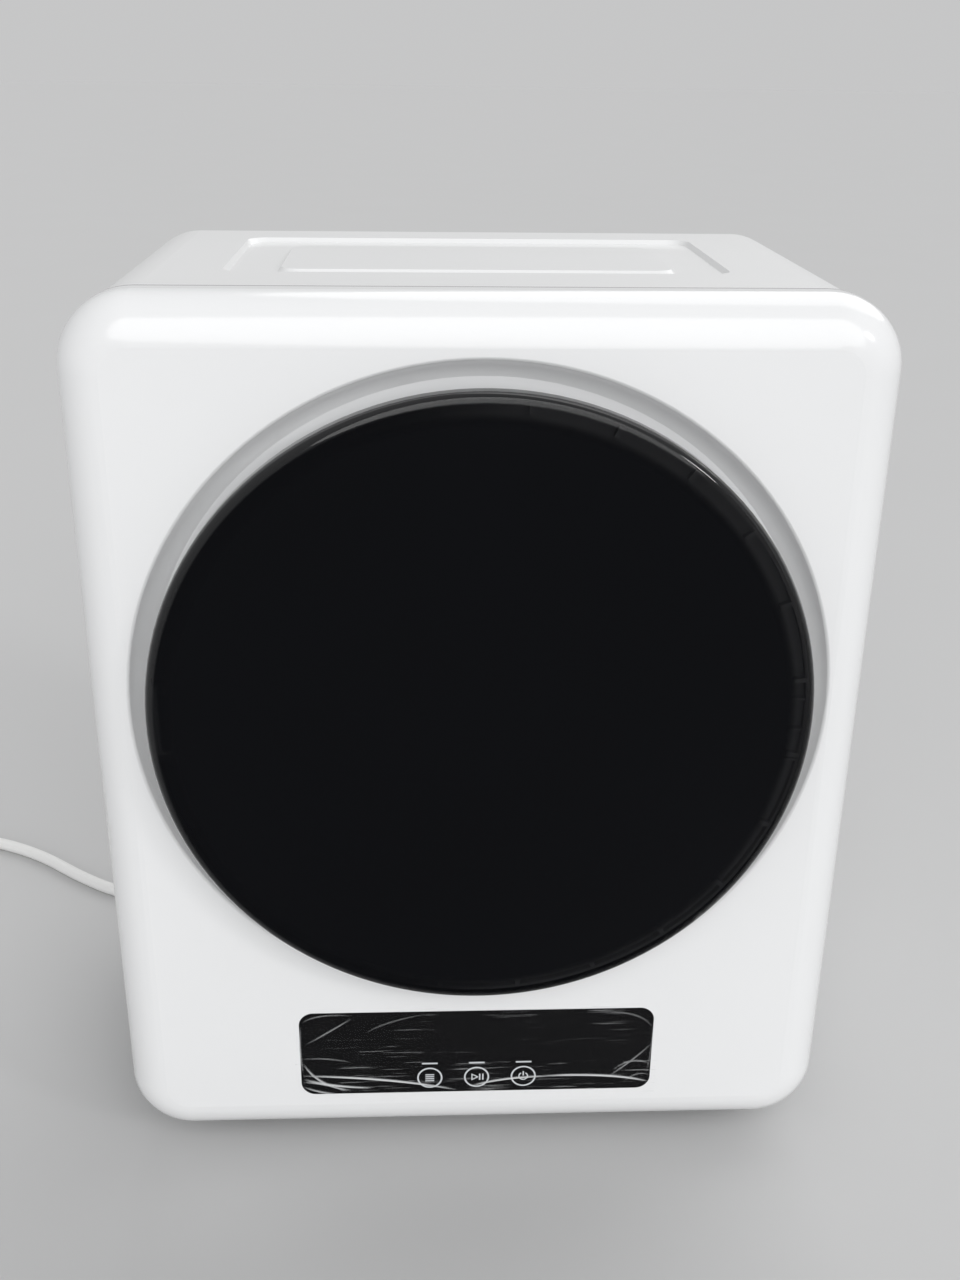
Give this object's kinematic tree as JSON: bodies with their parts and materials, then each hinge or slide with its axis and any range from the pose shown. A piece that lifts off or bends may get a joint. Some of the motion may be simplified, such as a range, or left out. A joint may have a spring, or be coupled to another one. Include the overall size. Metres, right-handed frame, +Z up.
{
  "type": "tumble dryer",
  "caption": "Compact vented tumble dryer: white rounded cabinet, round dark tinted door in a dished front, black key strip below, protruding back cover with hose outlet.",
  "frame": {"origin": "on the surface it stands on, at the middle of the width and the depth of the dryer without its lead", "axes": "+X to the right seen from the front, +Y into the depth, so the door faces -Y, +Z up"},
  "size_m": [0.8738, 0.4745, 0.612],
  "materials": {
    "white_gloss": "glossy white moulding",
    "white_paint": "smooth white enamel",
    "grey_plastic": "fine matte grey",
    "white_plastic": "satin white",
    "black_tint": "dark tinted, polished",
    "black_gloss": "polished black",
    "black_plastic": "matte black",
    "clear": "clear moulded",
    "film": "thin clear film",
    "zinc": "zinc-plated sheet",
    "stainless": "brushed stainless",
    "steel": "bright steel",
    "brass": "bare brass",
    "sintered": "oiled sintered bush",
    "felt": "wool felt",
    "mesh": "fine nylon mesh",
    "rubber": "black rubber",
    "seal_rubber": "grey soft rubber",
    "cord_white": "satin white cord jacket",
    "board_green": "circuit board",
    "motor_paint": "grey painted motor",
    "aluminium": "die cast"
  },
  "bodies": {
    "cabinet": {"front_panel": "white_gloss", "cabinet_wrap": "white_paint", "base_pan": "zinc", "feet": "rubber", "foot_screws": "steel", "rear_panel": "white_paint", "rear_cover": "white_plastic", "case_screws": "steel", "front_bulkhead": "zinc", "drum_felt": "felt", "rear_felt": "felt", "control_panel": "black_gloss", "protective_film": "film", "control_housing": "white_plastic", "control_board": "board_green", "hinge_bracket": "steel", "latch_catch": "white_plastic", "door_switch": "black_plastic", "bearing_housing": "aluminium", "bearing_bush": "sintered", "drive_belt": "rubber", "motor_body": "motor_paint", "motor_bracket": "zinc", "idler_pin": "steel", "idler_spring": "steel", "blower_housing": "grey_plastic", "exhaust_pipe": "aluminium", "exhaust_spigot": "grey_plastic", "lint_duct": "grey_plastic", "heater_duct": "zinc", "heater_element": "aluminium", "thermostats": "black_plastic", "terminal_block": "white_plastic", "strain_relief": "cord_white", "power_cord": "cord_white", "cord_coil": "cord_white", "cord_tie": "black_plastic", "mains_plug": "cord_white", "plug_pins": "brass"},
    "door": {"door_cover": "black_tint", "door_ring": "black_plastic", "door_inner": "white_gloss", "door_window": "clear", "door_seal": "seal_rubber", "door_screws": "steel", "hinge_leaf": "steel", "hinge_pin": "steel", "latch_hook": "white_plastic"},
    "drum": {"drum_shell": "stainless", "drum_back": "stainless", "drum_lifters": "grey_plastic", "drum_shaft": "steel"},
    "rotor": {"motor_shaft": "steel", "motor_pulley": "aluminium", "blower_wheel": "grey_plastic"},
    "tension_arm": {"idler_arm": "steel"},
    "idler": {"idler_pulley": "black_plastic"},
    "lint_filter": {"lint_frame": "grey_plastic", "lint_mesh": "mesh"},
    "plunger": {"switch_plunger": "white_plastic"}
  },
  "joints": [
    {"name": "door_hinge", "type": "hinge", "parent": "cabinet", "child": "door", "pos_m": [-0.1965, -0.18, 0.3585], "axis": [0, 0, -1], "range_deg": [0, 115]},
    {"name": "drum_spin", "type": "hinge", "parent": "cabinet", "child": "drum", "pos_m": [0, 0.124, 0.3585], "axis": [0, 1, 0], "continuous": true},
    {"name": "motor_spin", "type": "hinge", "parent": "cabinet", "child": "rotor", "pos_m": [0.112, 0.025, 0.092], "axis": [0, 1, 0], "continuous": true},
    {"name": "idler_arm_pivot", "type": "hinge", "parent": "cabinet", "child": "tension_arm", "pos_m": [-0.014, 0.0935, 0.084], "axis": [0, 1, 0], "range_deg": [0, 8], "stiffness_Nm_per_rad": 1.5, "springref_deg": -5.73},
    {"name": "idler_pulley_spin", "type": "hinge", "parent": "tension_arm", "child": "idler", "pos_m": [0.04, 0.085, 0.097], "axis": [0, 1, 0], "continuous": true},
    {"name": "lint_filter_slide", "type": "slide", "parent": "cabinet", "child": "lint_filter", "axis": [0, 0, 1], "range_m": [0, 0.1]},
    {"name": "switch_plunger_travel", "type": "slide", "parent": "cabinet", "child": "plunger", "axis": [0, 1, 0], "range_m": [0, 0.002], "stiffness_N_per_m": 300, "springref_m": -0.002}
  ],
  "couplings": [
    {"joint": "motor_spin", "follows": "drum_spin", "ratio": 20.352},
    {"joint": "idler_pulley_spin", "follows": "drum_spin", "ratio": -14.851}
  ]
}
